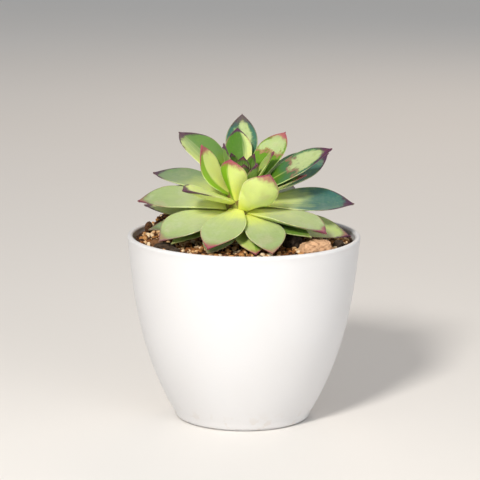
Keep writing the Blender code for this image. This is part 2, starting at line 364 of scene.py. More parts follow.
def potGlaze():
    material, make, shader = newMaterial("white pot glaze", {
        "Specular IOR Level": 0.5, "Subsurface Weight": 0.08,
        "Subsurface Radius": (1.0, 0.9, 0.8), "Subsurface Scale": 0.004})
    place = make.objectPlace()
    x, y, z = make.parts(place)
    broad = make.mottle(place, 14.0, 2.0)
    fine = make.mottle(place, 420.0, 3.0)
    down = make.most(1 - z / (pot["height"] * mm), 0.0)
    middle = narrowed(pot["rimRadius"] - pot["wall"] / 2, down)  # of the wall
    reach = make.squareRoot(x * x + y * y) / mm
    uneven = make.smooth(0.35, 0.7, broad) * 0.5
    white = make.mixed(uneven, colour(pot["white"]), colour(pot["shade"]))
    # Dust from the soil on the inner wall and in specks on the lip, and faint scuffs at the foot
    inside = make.smooth(-0.5, 0.5, middle - reach)
    specks = make.smooth(0.63, 0.72, make.mottle(place, 900.0, 2.0))
    dustTop, scuffTop = ([height * mm for height in pot[key]] for key in ("dustTop", "scuffTop"))
    dusty = inside * make.smooth(*dustTop, z) * 0.7 + inside * specks * 0.5
    worn = make.smooth(0.52, 0.62, make.mottle(place, 160.0, 4.0))
    scuffs = make.smooth(*scuffTop, z) * worn * 0.25
    make.give(shader.inputs["Base Color"], make.mixed(dusty + scuffs, white, colour(pot["dust"])))
    make.give(shader.inputs["Roughness"], 0.30 + broad * 0.10 + fine * 0.06 + dusty * 0.3)
    bumped(make, shader, fine * 0.4 + broad, 0.12, 0.6)
    return material


# Rosette: the leaning stem and every leaf

rosette = {
    "place": (-1.8, -2.4, 101.2),  # the crown, where the stem is widest
    "lean": 16.0,
    "stemRadius": 4.6,
    "stemFoot": 70.0,
    "stemSides": 40,
    "crownRadius": 7.0,
    "crownBelow": 8.0,
    "crownAbove": 15.0,
    "rootSunk": 2.0,  # how deep a leaf's root sits in the crown
}

leafShape = {
    "Thickness": 0.18,  # of the width
    "Widest": 0.62,  # share of the length
    "Spine": 0.45,
    "Edge": 0.30,  # half thickness of the rounded margin
    "Cup": 0.16,
    "Keel": 1.3,  # the lower, the sharper the ridge on the underside
    "Ripple": 0.16,
}

leafCurve = {
    "rows": 66,
    "sides": 40,
    "crowding": 1.25,  # above 1, the rows lie closer together near the tip
    "widening": 1.4,  # the higher, the narrower the leaf stays near its root
    "archEnd": 0.96,  # where the arched sides would meet, from the widest place to the tip
    "upperDepth": 0.22,  # share of the thickness that stands above the margin
    "lowerDepth": 0.78,  # share that hangs below it
    "midSwell": 0.22,  # share that only the middle of the leaf has
    "thinning": 0.76,  # share lost on the way to the tip
    "thinFrom": 0.45,
    "rippleAlong": 0.09,
    "rippleAcross": 0.07,
}

# direction, root height, climb at the root, climb at the tip, length, width, roll on the midrib,
# sideways bow of the midrib, root's share of the width,
# then how blue, how much painted shade deepens its green, how purple at the tip, how pink at the
# edge, how light a yellow (partly the leaf's own yellow, partly painted sunlight), where along the
# leaf a ragged patch of painted sunlight begins, with painted shade round it (0 for none), and how
# much one side is darkened by painted shade while the other is lightened by painted light
# (positive for the side to the left of someone who looks out along the leaf)
leaves = {
    "under": [
        (352.7, -4.4, -6.4, -10.4, 47, 18.2, 7, 0, 0.27, 0.2, 0.1, 0.5, 0.8, 0.6, 0, 0),
        (314.2, -6.9, 17.1, 5.1, 43, 11.4, 0, 0, 0.3, 0, 0.85, 0.1, 0.1, 0.2, 0, 0),
        (280, -4.6, 4.9, -0.4, 37.4, 14, 0, 0, 0.3, 0, 0.35, 0.1, 0.6, 1, 0, 0.8),
        (250.2, -7.0, 7.8, 1.8, 38.7, 14.2, 0, 0, 0.3, 0.25, 0.4, 0.2, 0.25, 0.4, 0, 0),
        (223.6, -4.5, 4.9, -3.6, 38, 11.5, 0, 0, 0.3, 0.1, 0.5, 0.1, 0.1, 0.8, 0, 0),
        (200.3, -6.4, 6, 0, 40.4, 12.5, 0, 0, 0.3, 0.4, 0.3, 0.3, 0.2, 0.2, 0, 0),
        (162.9, -5.0, -5.6, 2.4, 42.3, 15, 0, 0, 0.3, 0, 0.1, 1, 0.3, 0.9, 0, 0),
        (128.6, -6.4, 1.7, -6.3, 38.5, 13, 0, 0, 0.3, 0.6, 0.4, 0.7, 0.4, 0, 0, 0),
        (94.8, -4.2, -2.3, -8.3, 39.5, 13, 0, 0, 0.3, 0.6, 0.4, 0.7, 0.4, 0, 0, 0),
        (66.7, -6.6, -1.2, -8.2, 40.3, 13, 0, 0, 0.3, 0.6, 0.4, 0.7, 0.4, 0, 0, 0),
        (35.2, -4.8, -3.1, -10.1, 40.3, 12.5, 0, 0, 0.3, 0.6, 0.4, 0.7, 0.4, 0, 0, 0),
    ],
    "lower": [
        (287.2, -2.0, 11.2, -5.8, 44, 18, 0, 2.2, 0.23, 0.2, 0, 0.1, 0.5, 0, 0, 0),
        (252.2, 1.3, 8, -7, 42.4, 19, 0, 2, 0.36, 0.16, 0, 0.15, 0.9, 0, 0, 0),
        (219.6, -2.0, 15.2, -16.8, 42.6, 21, 0, 0, 0.27, 0.2, 0, 0.25, 0.5, 0.1, 0, 0),
        (179.5, -0.3, 16.7, -9.3, 41.9, 19.6, -5, 0, 0.3, 0.2, 0.05, 0.35, 0.7, 0, 0, 0),
        (147.3, -1.5, 6.6, -9.3, 38.2, 14, 0, 0, 0.3, 0.4, 0.1, 0.8, 0.5, 0.4, 0, 0),
        (117.4, 0.7, 2.5, -9.2, 40.7, 17, 0, 0, 0.3, 0.6, 0.3, 0.8, 0.5, 0, 0, 0),
        (84.9, -1.6, 3.9, -13.1, 43.8, 18, 0, 0, 0.3, 0.6, 0.3, 0.8, 0.5, 0, 0, 0),
        (51.6, 1.1, -1.5, -16.4, 34.9, 16, 0, 0, 0.3, 0.6, 0.3, 0.7, 0.5, 0, 0, 0),
        (16.8, -1.5, -1.1, -10.1, 39.7, 16, 0, 0, 0.3, 0.6, 0.3, 0.7, 0.5, 0, 0, 0),
        (319.9, -0.6, 14.2, -3.8, 45.6, 20.6, -8, 0.4, 0.25, 0.18, 0, 0.35, 1, 0, 0, 0),
    ],
    "middle": [
        (358.6, 2.5, 4.5, -3.5, 46.8, 20.3, 7, 0, 0.25, 1, 0.1, 1, 0.4, 0.1, 0, 0),
        (221.7, 4.5, 30.9, 22.9, 33.2, 16, 0, 0, 0.3, 0, 0, 1, 0.5, 1, 0, 0),
        (145.9, 3.1, 12.9, -11.1, 44.6, 17.5, 0, 0, 0.3, 0.5, 0.25, 1, 0.4, 0.1, 0, -0.3),
        (301.5, 2.0, 33, 69, 32.6, 16.6, -44, -2, 0.5, 0, 0, 0.2, 0.85, 0.8, 0, 0.35),
        (101, 2.8, 16.1, 2.1, 40.9, 15, 0, 0, 0.3, 0.7, 0.3, 0.9, 0.5, 0, 0, 0),
        (72.8, 4.7, 17, 1, 41.7, 15, 0, 0, 0.3, 0.7, 0.3, 0.9, 0.5, 0, 0, 0),
        (33.2, 3.6, 17.2, 12.2, 45.2, 19, 12.5, 0, 0.3, 0.9, 0.35, 1, 0.4, 0, 0, 0),
        (346, 4.0, 34.5, 29.5, 30, 7.2, 0, 0, 0.3, 0, 0.2, 0.3, 1, 0.5, 0, 0),
    ],
    "upper": [
        (132.6, 4.7, 48.4, 2.4, 43.2, 18, 0, 0, 0.22, 0.2, 0.6, 1, 0.5, 0.2, 0, -0.9),
        (158.1, 5.4, 45.7, 67.7, 26.3, 15.6, -5, 4, 0.2, 0, 0, 0.1, 1, 1, 0, 0.9),
        (358.3, 6.4, 38.2, 28.2, 44, 17.5, 10, -1.2, 0.3, 0.6, 0.15, 0.9, 0.9, 0, 0.56, 0),
        (89.3, 6.8, 37.6, 33.6, 40.1, 15, 0, 0, 0.3, 0.85, 0.15, 0.4, 0.3, 0, 0.42, 0),
        (47.4, 7.4, 55.6, 19.6, 33.3, 15.6, 0, -2, 0.3, 0, 0.2, 0.1, 1, 0.3, 0.58, 0),
        (248.1, 5.5, 74.5, 66.5, 25, 13, 0, 0, 0.36, 0, 0, 0.1, 1, 1, 0, -1),
    ],
    "heart": [
        (94.1, 9.0, 44.7, 42.7, 28.4, 12.5, 0, 0, 0.3, 0, 0.9, 1, 0.9, 0, 0, 1),
        (200.1, 9.0, 76.5, 80.5, 24.1, 9, 0, 0, 0.3, 0, 0.8, 1, 0.6, 0, 0, 0),
        (2.7, 9.0, 56.4, 60.4, 21.4, 9, 0, 0, 0.3, 0, 0.6, 0.3, 1, 0.5, 0, 0),
        (322.8, 9.0, 64.4, 74.4, 16, 9, 0, 0, 0.3, 0, 0.8, 0.5, 0.9, 0.2, 0, 0),
        (144.7, 10.0, 74.6, 88.6, 15.1, 8, 0, 0, 0.3, 0, 1, 0.5, 0.7, 0, 0, 0),
        (32.4, 10.0, 67.1, 81.1, 14.7, 8, 0, 0, 0.3, 0, 1, 0.5, 0.7, 0, 0, 0),
        (288, 10.5, 74.7, 88.7, 12.5, 7, 0, 0, 0.3, 0, 1, 0.5, 0.7, 0, 0, 0),
        (68.1, 11.0, 80.7, 92.7, 12.3, 7, 0, 0, 0.3, 0, 1, 0.5, 0.7, 0, 0, 0),
    ],
}
lookWords = ("blue", "deep", "purple", "pink", "glow", "patch", "side")
leafInputs = ("Direction", "Root Height", "Climb Root", "Climb Tip", "Length", "Width", "Roll",
              "Bow", "Root Width", *(word.capitalize() for word in lookWords),
              "Start", "Lean", "Seed", *leafShape)


def crownRadiusAt(height):
    low, wide = rosette["stemRadius"], rosette["crownRadius"]
    if height < 0:
        turn = min(1, -height / rosette["crownBelow"]) * math.pi / 2
        return low + (wide - low) * math.cos(turn)
    return wide * math.sqrt(max(0, 1 - (height / rosette["crownAbove"]) ** 1.6))


def leaning(point):
    # From the rosette's own upright space, in millimetres, to its place in metres
    lean = Matrix.Rotation(math.radians(rosette["lean"]), 3, "X")
    return (lean @ Vector(point) + Vector(rosette["place"])) * mm


def leafTree():
    # One leaf from a flat grid: X runs along it and Y goes once round it
    tree, make, get = newGeometryTree("leaf", leafInputs)
    curve = leafCurve
    grid = make.node("GeometryNodeMeshGrid", sockets={
        "Size X": 1.0, "Size Y": 1.0,
        "Vertices X": curve["rows"], "Vertices Y": curve["sides"] + 1})
    x, y = make.parts(make.node("GeometryNodeInputPosition"))[:2]
    share = 1 - (0.5 - x) ** curve["crowding"]  # of the length
    turn = (y + 0.5) * (2 * math.pi)
    across = 0 - make.cosine(turn)  # -1 and 1 at the margins
    face = make.sine(turn)  # above 0 on the upper face
    radians = math.pi / 180

    # Half width: it rises to the widest place, then arches in to a short point
    width, widest, rootWidth = get["Width"], get["Widest"], get["Root Width"]
    rise = make.sine(make.least(share / widest, 1.0) * (math.pi / 2)) ** curve["widening"]
    past = make.most(share - widest, 0.0) / (1 - widest)
    arch = make.most(1 - (past / curve["archEnd"]) ** 2, 0.0)
    point = get["Spine"] * (1 - past) * 6 / width
    rootEnd, tipEnd = make.least(share * 50, 1.0), make.least((1 - share) * 60, 1.0)
    ends = make.squareRoot(rootEnd) * make.squareRoot(tipEnd)  # both ends are rounded off
    half = width / 2 * (rootWidth + (1 - rootWidth) * rise)
    half = half * make.squareRoot(arch * arch + point * point) * ends

    # Height over the midrib: a nearly flat upper face, a keeled underside, and a cup across
    bulge = make.sine(make.least(share / 0.8, 1.0) * math.pi)
    swell = 1 - curve["midSwell"] + curve["midSwell"] * bulge
    towardTip = make.most((share - curve["thinFrom"]) / (1 - curve["thinFrom"]), 0.0)
    thinned = 1 - curve["thinning"] * towardTip ** 1.6
    thick = get["Thickness"] * width * swell * thinned * ends
    side = make.positive(across)
    upper = curve["upperDepth"] * make.squareRoot(make.most(1 - across * across, 0.0))
    lower = 0 - curve["lowerDepth"] * (1 - side ** get["Keel"])
    isUpper = make.maths("GREATER_THAN", face, 0.0)
    depth = (upper * isUpper + lower * (1 - isUpper)) * thick + face * get["Edge"] * ends
    cup = get["Cup"] * half * make.least(share * 2.2, 1.0)
    seeded = make.vector(share * get["Length"] * curve["rippleAlong"],
                         across * width * curve["rippleAcross"], get["Seed"] * 3.7)
    ripple = (make.mottle(seeded, 1.0, 1.5) - 0.5) * get["Ripple"] * 2
    lift = cup * across * across + depth + ripple * make.smooth(0.1, 0.5, share)

    # The midrib bends evenly from the climb at the root to the climb at the tip
    climbRoot = get["Climb Root"] * radians
    bend = (get["Climb Tip"] - get["Climb Root"]) * radians
    climb = climbRoot + bend * share
    length = get["Length"] + rosette["rootSunk"]
    sine, cosine = make.sine(climb), make.cosine(climb)
    reach = get["Start"] + length / bend * (sine - make.sine(climbRoot))
    height = get["Root Height"] - length / bend * (cosine - make.cosine(climbRoot))
    roll = get["Roll"] * radians * make.least(share * 2.5, 1.0)
    rollSine, rollCosine = make.sine(roll), make.cosine(roll)
    outward = half * across * rollSine + lift * rollCosine
    bow = get["Bow"] * 4 * share * (1 - share)
    sideways = half * across * rollCosine - lift * rollSine + bow
    spot = make.vector(reach - sine * outward, sideways, height + cosine * outward)

    kept = {"along": share, "across": across, "face": face,
            "inset": (1 - side) * half,  # millimetres from the margin
            "untilTip": (1 - share) * length}
    kept.update({word: get[word.capitalize()] for word in (*lookWords, "seed")})
    shape = grid
    for name, value in kept.items():
        shape = make.stored(shape, name, value)
    shape = make.placed(shape, {"Position": make.scaled(spot, mm)})
    shape = make.node("GeometryNodeMergeByDistance", sockets={"Geometry": shape, "Distance": 4e-6})
    direction = make.vector(0.0, 0.0, get["Direction"] * radians)
    shape = make.node("GeometryNodeTransform", sockets={"Geometry": shape, "Rotation": direction})
    shape = make.node("GeometryNodeTransform", sockets={
        "Geometry": shape, "Rotation": make.vector(get["Lean"] * radians, 0.0, 0.0),
        "Translation": tuple(value * mm for value in rosette["place"])})
    endTree(tree, make, make.shadedSmooth(shape), get["Skin"])
    return tree


def makeLeaves(skins):
    tree = leafTree()
    made = 0
    for ring, rows in leaves.items():
        for number, row in enumerate(rows, 1):
            made += 1
            values = dict(zip(leafInputs, map(float, row)))
            values.update(leafShape)
            values["Start"] = max(0.5, crownRadiusAt(row[1]) - rosette["rootSunk"])
            values["Lean"] = rosette["lean"]
            values["Seed"] = float(made)
            values["Skin"] = skins[ring]
            piece = grown(f"{ring}_leaf_{number:02d}", tree, values)
            # The stem replaces the node that holds the heart leaves
            replaced = () if ring == "heart" else (f"leaf_{ring}_{number:02d}",)
            finishPiece(piece, replaced)
    print(made, "leaves grown")


def makeStem(skin):
    radius, foot, sides = rosette["stemRadius"], rosette["stemFoot"], rosette["stemSides"]
    below, above, upright = rosette["crownBelow"], rosette["crownAbove"], 16
    rings = [circle(radius, foot + rise, sides) for rise in (0, 5, 10, upright)]
    # One ring half way round the bend, then the leaning crown
    middle = (Vector((0, 0, foot + upright)) + leaning((0, 0, -below)) / mm) / 2
    bend = Matrix.Rotation(math.radians(rosette["lean"] / 2), 3, "X")
    rings.append([(middle + bend @ Vector((radius * math.cos(t), radius * math.sin(t), 0))) * mm
                  for t in turnsOf(sides)])
    heights = [-below + 0.9 * i for i in range(25)] + [above - gap for gap in (0.8, 0.4, 0.15)]
    for height in heights:
        wide = crownRadiusAt(height)
        rings.append([leaning((wide * math.cos(t), wide * math.sin(t), height))
                      for t in turnsOf(sides)])
    mesh = ringSolid("stem_and_crown", rings, [(0, 0, foot * mm), leaning((0, 0, above))])
    addPiece("stem_and_crown", mesh, skin, ("stem_and_heart",))
    print("stem made")


# Among these, the deep green and the yellower green after it are painted shade, the light yellow
# also serves as painted light on one side of some leaves, the patch green is painted sunlight, and
# the pale margin colour is a painted highlight
leafColours = {
    "root": "#E2E878",
    "pale": "#B8C588",
    "light": "#DAE68A",
    "green": "#76914A",
    "deep": "#3A6C02",
    "brightShade": "#84B80E",
    "blue": "#37665E",
    "bloom": "#CCCEB2",
    "edgeHighlight": "#E2E8AE",
    "patch": "#B6C58E",
    "pink": "#AA5060",
    "purple": "#432140",
}

leafLook = {
    "translucence": 0.18,
    "shine": 0.24,
    "roughness": 0.46,
    "rootFade": (0.06, 0.50),  # shares of the length between which the root's yellow ends
    "greenFrom": (0.35, 1.05),
    "blueFrom": (0.30, 0.62),
    # the width of the painted highlight along the margin
    "edgeHighlightWidth": (0.55, 0.15),  # millimetres from the margin, from nothing to full
    "lineWidth": (0.85, 0.15),
    "purpleMargin": (1.1, 0.3),
    "pinkTip": (6.5, 3.0),  # millimetres from the tip, from nothing to full
    "purpleTip": (9.0, 5.0),
    "purpleMarginTip": (14.0, 8.0),
    "green": 0.5,  # from here on, how strongly each colour covers what lies under it
    # how strongly the painted sunlit patch covers, then the painted light on the lit side of some
    # leaves
    "patch": 0.85,
    "litSideStrength": 0.50,
    "flecks": 0.30,
    "blush": 0.22,
    "bloom": 0.40,
    # how strongly the painted highlight along the margin covers
    "edgeHighlight": 0.5,
    "purple": 0.92,
}

# How far the root's yellow runs out, how strong the bloom is, how long the marks at the tip are
leafSkins = {
    "outer": {"gold": -0.04, "bloom": 0.9, "marks": 1.0},
    "inner": {"gold": 0.12, "bloom": 0.5, "marks": 1.2},
    "heart": {"gold": 0.20, "bloom": 0.2, "marks": 0.45},
}
skinOfRing = {"under": "outer", "lower": "outer", "middle": "outer", "upper": "inner",
              "heart": "heart"}


def leafSkin(kind):
    extra, look = leafSkins[kind], leafLook
    gold = extra["gold"]
    material, make, shader = newMaterial(kind + " leaf skin", {
        "Subsurface Weight": look["translucence"], "Subsurface Radius": (0.6, 1.0, 0.08),
        "Subsurface Scale": 0.004, "Specular IOR Level": look["shine"]})
    smooth = make.smooth
    along, across, face, inset, untilTip, seed = map(
        make.attribute, ("along", "across", "face", "inset", "untilTip", "seed"))
    blue, deep, purple, pink, glow, patch, side = map(make.attribute, lookWords)
    place = make.objectPlace()
    shifted = make.vectorMaths("ADD", place, make.vector(seed * 0.13, seed * 0.07, 0.0))
    cloud = make.mottle(shifted, 110.0, 3.0) - 0.5
    fine = make.mottle(shifted, 900.0, 3.0) - 0.5
    streaks = make.mottle(make.vector(along * 2.2, across * 9.0, seed), 1.0, 3.0) - 0.5
    patches = make.mottle(shifted, 55.0, 2.0) - 0.5
    blotches = make.mottle(shifted, 260.0, 4.0, 0.65) - 0.5

    def covered(body, strength, name):
        return make.mixed(strength, body, colour(leafColours[name]))

    # Yellow root, pale middle, greener towards the tip
    reach = along + cloud * 0.30 + streaks * 0.20
    # how far pale gives way to light yellow: partly the leaf's own yellow, partly painted sunlight
    pale = make.mixed(glow, colour(leafColours["pale"]), colour(leafColours["light"]))
    low, high = (at + gold for at in look["rootFade"])
    body = make.mixed(smooth(low, high, reach), colour(leafColours["root"]), pale)
    low, high = look["greenFrom"]
    green = smooth(low + gold, high, reach + patches * 0.6) * (1 - 0.7 * glow)
    body = covered(body, green * look["green"], "green")

    # The ragged patch of painted sunlight on some leaves with painted shade round it, the painted
    # shade on one side of some leaves with painted light on the other, and the painted shade of
    # leaves that lie in shade
    start = along - patch + blotches * 0.35 + cloud * 0.25
    sunPatched = smooth(0.0, 0.04, patch)  # whether the leaf has one
    inSunPatch = smooth(-0.03, 0.08, start) * smooth(0.2, 2.2, inset + blotches * 4.0 - blue * 1.4)
    inSunPatch = inSunPatch * smooth(-0.34, -0.06, blotches + cloud * 0.5)
    shadeOutsidePatch = sunPatched * (1 - inSunPatch)
    rim = sunPatched * smooth(0.05, 0.0, make.positive(start)) * 0.7
    oneSided = make.positive(side)
    aside = across * side + streaks * 0.5 * side
    # painted shade on one side of the midrib and painted light on the other, as on a keel lit on
    # one facet
    shadedSide = smooth(0.0, 0.2, aside - 0.22 + deep * 0.8) * oneSided
    litSide = smooth(0.25, 0.75, 0 - aside) * oneSided
    # painted shade over the whole leaf for leaves that lie in shade, less on the painted lit side
    evenShade = deep * (0.95 - 0.4 * smooth(0.0, 0.3, patches + streaks)) * (1 - 0.8 * litSide)
    paintedShade = make.most(evenShade, make.most(shadeOutsidePatch * 0.95, shadedSide * 0.95))
    # a little less painted shade along the midrib of patched leaves
    paintedShade = paintedShade * (1 - 0.35 * sunPatched * smooth(0.10, 0.03, make.positive(across)))
    body = covered(body, sunPatched * inSunPatch * (look["patch"] - 0.25 * blue), "patch")
    body = covered(body, litSide * look["litSideStrength"], "light")
    # the colour of the painted shade, yellower on the leaves painted as sunlit
    shadeColour = make.mixed(glow * 0.8, colour(leafColours["deep"]), colour(leafColours["brightShade"]))
    body = make.mixed(paintedShade, body, shadeColour)
    blueness = blue * smooth(*look["blueFrom"], reach + patches * 0.35) * (1 - sunPatched * inSunPatch)
    body = covered(body, blueness, "blue")
    flecks = smooth(0.0, 0.24, blotches + fine * 0.5) * smooth(0.3, 0.7, along) * (1 - glow)
    body = covered(body, flecks * look["flecks"], "green")
    blush = smooth(0.08, 0.24, patches + cloud * 0.6) * smooth(0.45, 0.8, along)
    body = covered(body, blush * pink * look["blush"], "pink")

    # Powdery bloom, thicker on the upper face and rubbed off in patches
    under = smooth(0.1, -0.2, face)
    bloom = smooth(-0.08, 0.20, cloud + fine * 0.3) * extra["bloom"] * smooth(0.2, 0.6, along)
    bloom = bloom * (1 - 0.6 * under) * (1 - paintedShade) * (1 - 0.7 * blue)
    body = covered(body, bloom * look["bloom"], "bloom")

    # The ragged pink line at the margin, a thin painted highlight along the margin, and the marks
    # at the tip
    ragged = cloud * 3.0 + fine * 1.6 + streaks * 2.0 + blotches * 5.0  # millimetres
    outer = smooth(0.50, 0.85, along + cloud * 0.5) * smooth(-0.16, 0.06, patches + blotches)
    line = smooth(*look["lineWidth"], inset + ragged * 0.25) * outer
    # a thin pale line along the margin: a painted highlight
    edgeHighlight = smooth(*look["edgeHighlightWidth"], inset + fine * 0.6) * (1 - line) * smooth(0.1, 0.3, along)
    body = covered(body, edgeHighlight * look["edgeHighlight"], "edgeHighlight")
    untilTip = untilTip / extra["marks"]
    tipPink = smooth(*look["pinkTip"], untilTip + ragged * 1.2 + inset * 0.5)
    pinkness = make.clamped(pink * (line * 0.7 + tipPink * 0.9 + rim * 0.8))
    body = covered(body, pinkness, "pink")
    nearTip = smooth(*look["purpleMarginTip"], untilTip + ragged * 1.5)
    margin = smooth(*look["purpleMargin"], inset + ragged * 0.45) * nearTip
    tipDark = smooth(*look["purpleTip"], untilTip + ragged * 1.6 + inset * 0.65)
    darkness = make.clamped(purple * (tipDark + margin + line * 0.3))
    body = covered(body, darkness * look["purple"], "purple")

    make.give(shader.inputs["Base Color"], body)
    make.give(shader.inputs["Roughness"], look["roughness"] + bloom * 0.22 + fine * 0.12)
    bumped(make, shader, cloud * 0.6 + fine * 0.12 + streaks * 0.25, 0.30, 0.6)
    return material


stemColours = {"brown": "#6E5A2E", "green": "#8A9440"}


def stemSkin():
    material, make, shader = newMaterial("stem skin", {"Specular IOR Level": 0.25})
    scars = make.mottle(make.objectPlace(), 380.0, 4.0)
    make.give(shader.inputs["Base Color"], make.mixed(
        make.smooth(0.40, 0.62, scars), colour(stemColours["brown"]), colour(stemColours["green"])))
    make.give(shader.inputs["Roughness"], 0.6 + scars * 0.2)
    bumped(make, shader, scars, 0.6, 0.6)
    return material


# Soil: a bed of fine crumbs with a low heap at the back left, and loose grit scattered on it

soil = {
    "drop": 2.0,  # how far the soil's edge lies under the rim
    "mound": 0.8,
    "heapPlace": (-36, 27),
    "heapHeight": 7.5,
    "heapSpread": 12.0,
    "grainSize": 4.6,
    "grainHeight": 1.5,
    "crumbs": 0.35,
    "sunk": 1.1,  # how far the bed lies under the source's surface, because the grit rests on it
    "gap": 0.3,  # between the bed and the pot
    "edgeGap": 0.45,  # the same at the top
    "sides": 150,
    "steps": 46,
    "bedDark": "#2A190D",
    "bedBrown": "#5A3719",
}

grit = {
    "Density": 0.30,  # grains on a square millimetre
    "Smallest": 0.9,
    "Largest": 2.7,
    "Reach": 50.0,
    "Seed": 7.0,
}

gritColours = [
    (0.00, "#2E190D"), (0.18, "#633A1C"), (0.40, "#96602F"),
    (0.60, "#C08B52"), (0.80, "#DDB584"), (1.00, "#F0DCBB")]
gritDust = "#7A5530"


def soilHeight(x, y):
    reach = math.hypot(x, y) / potInnerRadius(pot["height"])
    height = pot["height"] - soil["drop"] + soil["mound"] * (1 - reach ** 2)
    away = math.hypot(x - soil["heapPlace"][0], y - soil["heapPlace"][1])
    heap = soil["heapHeight"] * math.exp(-(away / soil["heapSpread"]) ** 2)
    height += heap * max(0, min(1, (1 - reach) * 10))  # the heap fades near the wall
    near = noise.voronoi(Vector((x / soil["grainSize"], y / soil["grainSize"], 0.37)))[0][0]
    return height + soil["grainHeight"] * (0.5 - near)


def bedPoint(x, y):
    crumbs = noise.fractal(Vector((x, y, 3.0)) * 0.9, 1.0, 2.0, 3)
    return (x * mm, y * mm, (soilHeight(x, y) - soil["sunk"] + soil["crumbs"] * crumbs) * mm)


def makeSoilBed(material):
    sides, steps, gap = soil["sides"], soil["steps"], soil["gap"]
    top = pot["height"] - soil["drop"]
    floor = pot["floor"] + gap
    corner = potInnerRadius(pot["floor"] + pot["floorCorner"])
    wall = potInnerRadius(top) - soil["edgeGap"]
    outline = [(corner - 3.2, floor), (corner - gap, floor + 2.2)]
    outline += [(potInnerRadius(share * pot["height"]) - gap, share * pot["height"])
                for share in (0.17, 0.24, 0.3, 0.4, 0.5, 0.62, 0.75)]
    outline.append((wall, top - 2.6))
    rings = [circle(radius, height, sides) for radius, height in outline]
    for i in range(steps):
        radius = (wall - 0.5) * (1 - i / steps)
        rings.append([bedPoint(radius * math.cos(t), radius * math.sin(t)) for t in turnsOf(sides)])
    poles = [(0, 0, floor * mm), (0, 0, (soilHeight(0, 0) - soil["sunk"]) * mm)]
    return addPiece("soil_bed", ringSolid("soil_bed", rings, poles), material, ("soil",))


def gritTree():
    # Grains of chipped stone and bark on the upward faces of a bed
    tree, make, get = newGeometryTree("grit", grit, takesMesh=True)
    x, y, z = make.parts(make.node("GeometryNodeInputPosition"))
    upward = make.parts(make.node("GeometryNodeInputNormal"))[2]
    inside = make.maths("LESS_THAN", make.squareRoot(x * x + y * y), get["Reach"] * mm)
    facing = make.maths("GREATER_THAN", upward, 0.3)
    high = make.maths("GREATER_THAN", z, 0.08)
    points = make.node("GeometryNodeDistributePointsOnFaces", {"distribute_method": "RANDOM"},
                       {"Mesh": get["Mesh"], "Selection": inside * facing * high,
                        "Density": get["Density"] * 1e6, "Seed": get["Seed"]})
    # A grain is a cube of 24 faces, half way to a ball
    cube = make.node("GeometryNodeMeshCube", sockets={
        "Size": (1.0, 1.0, 1.0), "Vertices X": 3, "Vertices Y": 3, "Vertices Z": 3})
    corner = make.node("GeometryNodeInputPosition")
    ball = make.scaled(make.vectorMaths("NORMALIZE", corner), 0.36)
    blunt = make.vectorMaths("ADD", ball, make.scaled(corner, 0.30))
    grain = make.placed(cube, {"Position": blunt})

    def chance(low, high, seed, kind="FLOAT"):
        first, out = (2, 1) if kind == "FLOAT" else (0, 0)  # the sockets for this kind
        sockets = {first: low, first + 1: high, "Seed": seed}
        return make.node("FunctionNodeRandomValue", {"data_type": kind}, sockets, out)

    size = get["Smallest"] + (get["Largest"] - get["Smallest"]) * chance(0.0, 1.0, 3) ** 2.0
    spread = chance((0.65, 0.7, 0.55), (1.5, 1.05, 0.95), 5, "FLOAT_VECTOR")
    spin = chance((-0.5, -0.5, 0.0), (0.5, 0.5, 6.28), 9, "FLOAT_VECTOR")
    grains = make.node("GeometryNodeInstanceOnPoints", sockets={
        "Points": points, "Instance": grain, "Rotation": spin,
        "Scale": make.scaled(make.scaled(spread, size), mm)})
    grains = make.stored(grains, "grainTone", chance(0.0, 1.0, 13), "INSTANCE")
    lift = make.vector(0.0, 0.0, size * 0.22 * mm)
    grains = make.node("GeometryNodeTranslateInstances", sockets={
        "Instances": grains, "Translation": lift, "Local Space": False})
    # Realized here, because each grain is then chipped in its own way
    grains = make.node("GeometryNodeRealizeInstances", sockets={"Geometry": grains})
    rough = make.mottle(make.node("GeometryNodeInputPosition"), 520.0, 2.0) - 0.5
    push = make.scaled(make.node("GeometryNodeInputNormal"), rough * 0.9 * mm)
    grains = make.placed(grains, {"Offset": push})
    endTree(tree, make, make.shadedSmooth(grains), get["Skin"])
    return tree


def makeGrit(bed, material):
    piece = grown("grit", gritTree(), {**grit, "Skin": material}, bed.data.copy())
    finishPiece(piece)
    print("grit:", len(piece.data.polygons), "faces")


def bedMaterial():
    material, make, shader = newMaterial("soil bed", {"Specular IOR Level": 0.2})
    place = make.objectPlace()
    cloud = make.mottle(place, 260.0, 4.0)
    crumbs = make.cells(place, 900.0)
    make.give(shader.inputs["Base Color"], make.mixed(
        make.smooth(0.35, 0.7, cloud), colour(soil["bedDark"]), colour(soil["bedBrown"])))
    make.give(shader.inputs["Roughness"], 0.85 + cloud * 0.15)
    bumped(make, shader, crumbs + cloud * 0.5, 0.8, 0.8)
    return material


def gritMaterial():
    material, make, shader = newMaterial("grit", {"Specular IOR Level": 0.3})
    place = make.objectPlace()
    tone = make.attribute("grainTone")
    patches = make.mottle(place, 1500.0, 3.0)
    stops = [(at, colour(code)) for at, code in gritColours]
    sockets = {"Fac": tone + (patches - 0.5) * 0.35}
    base = make.node("ShaderNodeValToRGB", {"stops": stops}, sockets)
    dust = make.smooth(0.55, 0.75, make.mottle(place, 700.0, 2.0)) * 0.25
    make.give(shader.inputs["Base Color"], make.mixed(dust, base, colour(gritDust)))
    make.give(shader.inputs["Roughness"], 0.72 + patches * 0.2)
    bumped(make, shader, patches, 0.7, 0.5)
    return material


# Stones lying in the soil: node, x, y, height of the middle, half sizes, turn,
# light and dark colour, slot

